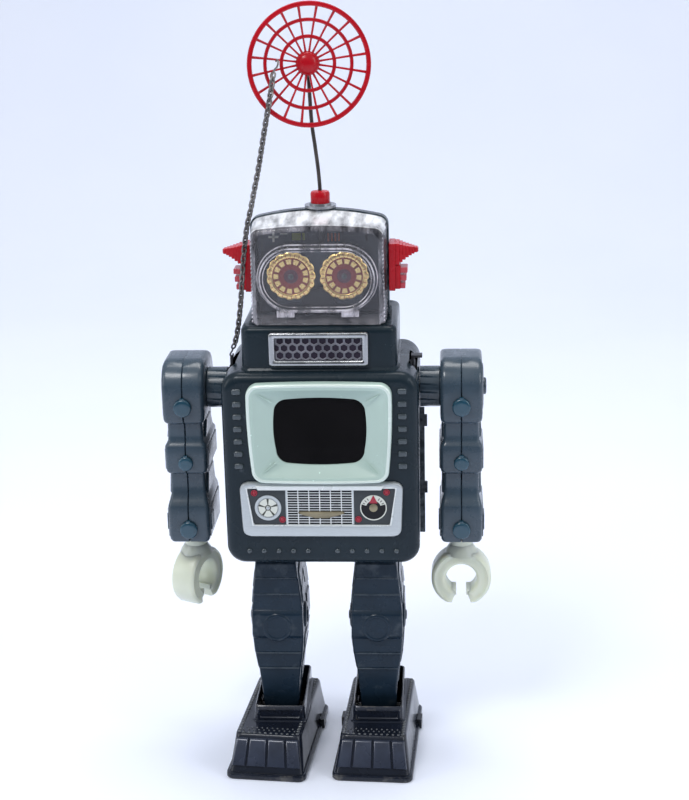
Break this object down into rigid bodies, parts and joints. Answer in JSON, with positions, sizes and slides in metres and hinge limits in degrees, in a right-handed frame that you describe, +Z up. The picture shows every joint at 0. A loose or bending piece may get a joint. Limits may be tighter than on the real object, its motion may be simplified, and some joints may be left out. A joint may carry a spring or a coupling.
{
  "type": "tin wind-up robot",
  "caption": "Walking tin robot toy with a chest television, speaker neck, gear eyes behind a clear visor, dish antenna on a chain and open claw hands",
  "frame": {"origin": "on the floor under the middle of the outer box", "axes": "+Z up, the robot faces -Y, its own left side is +X"},
  "size_m": [0.1618, 0.0995, 0.3764],
  "materials": {
    "body_enamel": "gloss",
    "bezel_mint": "satin",
    "smoked_plastic": "gloss",
    "plate_silver": "satin",
    "panel_print": "satin",
    "grille_chrome": "gloss",
    "mesh_dark": "satin",
    "clear_visor": "clear",
    "board_print": "satin",
    "red_plastic": "gloss",
    "plain_steel": "satin",
    "spring_steel": "satin",
    "chain_steel": "satin",
    "eye_gold": "satin",
    "gear_brass": "satin",
    "key_plate": "gloss",
    "drum_print": "matte",
    "leg_enamel": "gloss",
    "shoe_enamel": "gloss",
    "roller_rubber": "matte",
    "arm_plastic": "satin",
    "stud_teal": "gloss",
    "hand_cream": "satin"
  },
  "bodies": {
    "chest": {"front_shell": "body_enamel", "back_shell": "body_enamel", "bottom_plate": "plain_steel", "tv_bezel": "bezel_mint", "tv_window": "smoked_plastic", "control_plate": "plate_silver", "control_panel": "panel_print", "neck_box": "body_enamel", "grille_frame": "grille_chrome", "grille_mesh": "mesh_dark", "head_shell": "body_enamel", "visor": "clear_visor", "face_board": "board_print", "left_ear": "red_plastic", "right_ear": "red_plastic", "antenna_bushing": "plain_steel", "side_plate_left": "plain_steel", "side_plate_right": "plain_steel", "motor_plate_front": "plain_steel", "motor_plate_back": "plain_steel", "motor_pillars": "plain_steel", "hip_axle": "plain_steel", "mainspring": "spring_steel", "chain_hook": "plain_steel", "chain": "chain_steel"},
    "antenna": {"antenna_cap": "red_plastic", "antenna_mast": "chain_steel", "dish": "red_plastic"},
    "left_eye_wheel": {"left_eye": "eye_gold", "left_eye_gear": "gear_brass"},
    "right_eye_wheel": {"right_eye": "eye_gold", "right_eye_gear": "gear_brass"},
    "winding_key": {"key": "key_plate", "key_arbor": "plain_steel"},
    "great_wheel": {"great_wheel": "gear_brass"},
    "second_wheel": {"second_wheel": "gear_brass"},
    "third_wheel": {"third_wheel": "gear_brass"},
    "governor": {"governor_fan": "gear_brass"},
    "crank": {"crankshaft": "plain_steel"},
    "idler": {"drum_idler": "gear_brass"},
    "scene": {"scene_drum": "drum_print"},
    "left_leg": {"left_leg": "leg_enamel"},
    "right_leg": {"right_leg": "leg_enamel"},
    "left_foot": {"left_shoe": "shoe_enamel", "left_sole": "shoe_enamel"},
    "right_foot": {"right_shoe": "shoe_enamel", "right_sole": "shoe_enamel"},
    "left_roller": {"left_rollers": "roller_rubber"},
    "right_roller": {"right_rollers": "roller_rubber"},
    "left_arm": {"left_arm_inner": "arm_plastic", "left_arm_outer": "arm_plastic", "left_arm_axle": "arm_plastic", "left_arm_studs": "stud_teal"},
    "right_arm": {"right_arm_inner": "arm_plastic", "right_arm_outer": "arm_plastic", "right_arm_axle": "arm_plastic", "right_arm_studs": "stud_teal"},
    "left_hand": {"left_hand": "hand_cream"},
    "right_hand": {"right_hand": "hand_cream"},
    "stop_lever": {"stop_lever": "plain_steel"}
  },
  "joints": [
    {"name": "antenna_turn", "type": "hinge", "parent": "chest", "child": "antenna", "pos_m": [0.0006, 0, 0.284], "axis": [0, 0, 1], "range_deg": [-40, 40], "deforming": ["chain"]},
    {"name": "left_eye_spin", "type": "hinge", "parent": "chest", "child": "left_eye_wheel", "pos_m": [0.0125, -0.014, 0.2512], "axis": [0, 1, 0], "continuous": true},
    {"name": "right_eye_spin", "type": "hinge", "parent": "chest", "child": "right_eye_wheel", "pos_m": [-0.0125, -0.014, 0.2512], "axis": [0, 1, 0], "continuous": true},
    {"name": "key_turn", "type": "hinge", "parent": "chest", "child": "winding_key", "pos_m": [0, 0.03, 0.146], "axis": [0, 1, 0], "continuous": true},
    {"name": "great_wheel_turn", "type": "hinge", "parent": "chest", "child": "great_wheel", "pos_m": [0, 0.022, 0.146], "axis": [0, 1, 0], "continuous": true},
    {"name": "second_wheel_turn", "type": "hinge", "parent": "chest", "child": "second_wheel", "pos_m": [0.01527, 0.018, 0.13073], "axis": [0, 1, 0], "continuous": true},
    {"name": "third_wheel_turn", "type": "hinge", "parent": "chest", "child": "third_wheel", "pos_m": [0.00113, 0.018, 0.12413], "axis": [0, 1, 0], "continuous": true},
    {"name": "governor_turn", "type": "hinge", "parent": "chest", "child": "governor", "pos_m": [-0.01247, 0.018, 0.12413], "axis": [0, 1, 0], "continuous": true},
    {"name": "crank_turn", "type": "hinge", "parent": "chest", "child": "crank", "pos_m": [0, 0, 0.12413], "axis": [1, 0, 0], "continuous": true},
    {"name": "idler_turn", "type": "hinge", "parent": "chest", "child": "idler", "pos_m": [-0.024, -0.00654, 0.14805], "axis": [1, 0, 0], "continuous": true},
    {"name": "scene_turn", "type": "hinge", "parent": "chest", "child": "scene", "pos_m": [0, -0.01478, 0.17815], "axis": [1, 0, 0], "continuous": true},
    {"name": "right_leg_swing", "type": "hinge", "parent": "chest", "child": "right_leg", "pos_m": [-0.025, 0, 0.114], "axis": [1, 0, 0], "range_deg": [-12, 12]},
    {"name": "left_leg_swing", "type": "hinge", "parent": "chest", "child": "left_leg", "pos_m": [0.025, 0, 0.114], "axis": [1, 0, 0], "range_deg": [-12, 12]},
    {"name": "right_ankle", "type": "hinge", "parent": "right_leg", "child": "right_foot", "pos_m": [-0.025, 0, 0.017], "axis": [1, 0, 0], "range_deg": [-12, 12]},
    {"name": "left_ankle", "type": "hinge", "parent": "left_leg", "child": "left_foot", "pos_m": [0.025, 0, 0.017], "axis": [1, 0, 0], "range_deg": [-12, 12]},
    {"name": "right_roller_spin", "type": "hinge", "parent": "right_foot", "child": "right_roller", "pos_m": [-0.0258, 0.00797, 0.0046], "axis": [0.9962, -0.0872, 0], "continuous": true},
    {"name": "left_roller_spin", "type": "hinge", "parent": "left_foot", "child": "left_roller", "pos_m": [0.02542, 0.00799, 0.0046], "axis": [0.9986, -0.0523, 0], "continuous": true},
    {"name": "right_arm_swing", "type": "hinge", "parent": "chest", "child": "right_arm", "pos_m": [-0.0673, 0, 0.1909], "axis": [1, 0, 0], "range_deg": [-18, 18]},
    {"name": "left_arm_swing", "type": "hinge", "parent": "chest", "child": "left_arm", "pos_m": [0.0673, 0, 0.1909], "axis": [1, 0, 0], "range_deg": [-18, 18]},
    {"name": "right_wrist_turn", "type": "hinge", "parent": "right_arm", "child": "right_hand", "pos_m": [-0.0673, 0, 0.115], "axis": [0, 0, 1], "continuous": true},
    {"name": "left_wrist_turn", "type": "hinge", "parent": "left_arm", "child": "left_hand", "pos_m": [0.0673, 0, 0.115], "axis": [0, 0, 1], "continuous": true},
    {"name": "stop_lever_slide", "type": "slide", "parent": "chest", "child": "stop_lever", "axis": [0, 1, 0], "range_m": [0, 0.008]}
  ],
  "couplings": [
    {"joint": "right_eye_spin", "follows": "left_eye_spin", "ratio": -1},
    {"joint": "third_wheel_turn", "follows": "crank_turn", "ratio": -0.375},
    {"joint": "second_wheel_turn", "follows": "crank_turn", "ratio": 0.1125},
    {"joint": "great_wheel_turn", "follows": "crank_turn", "ratio": -0.0225},
    {"joint": "governor_turn", "follows": "crank_turn", "ratio": 1.0417},
    {"joint": "idler_turn", "follows": "crank_turn", "ratio": -0.29167},
    {"joint": "scene_turn", "follows": "crank_turn", "ratio": 0.46667},
    {"joint": "left_leg_swing", "follows": "right_leg_swing", "ratio": -1},
    {"joint": "right_ankle", "follows": "right_leg_swing", "ratio": -1},
    {"joint": "left_ankle", "follows": "right_leg_swing", "ratio": 1},
    {"joint": "right_arm_swing", "follows": "right_leg_swing", "ratio": -1.5},
    {"joint": "left_arm_swing", "follows": "right_leg_swing", "ratio": 1.5}
  ]
}
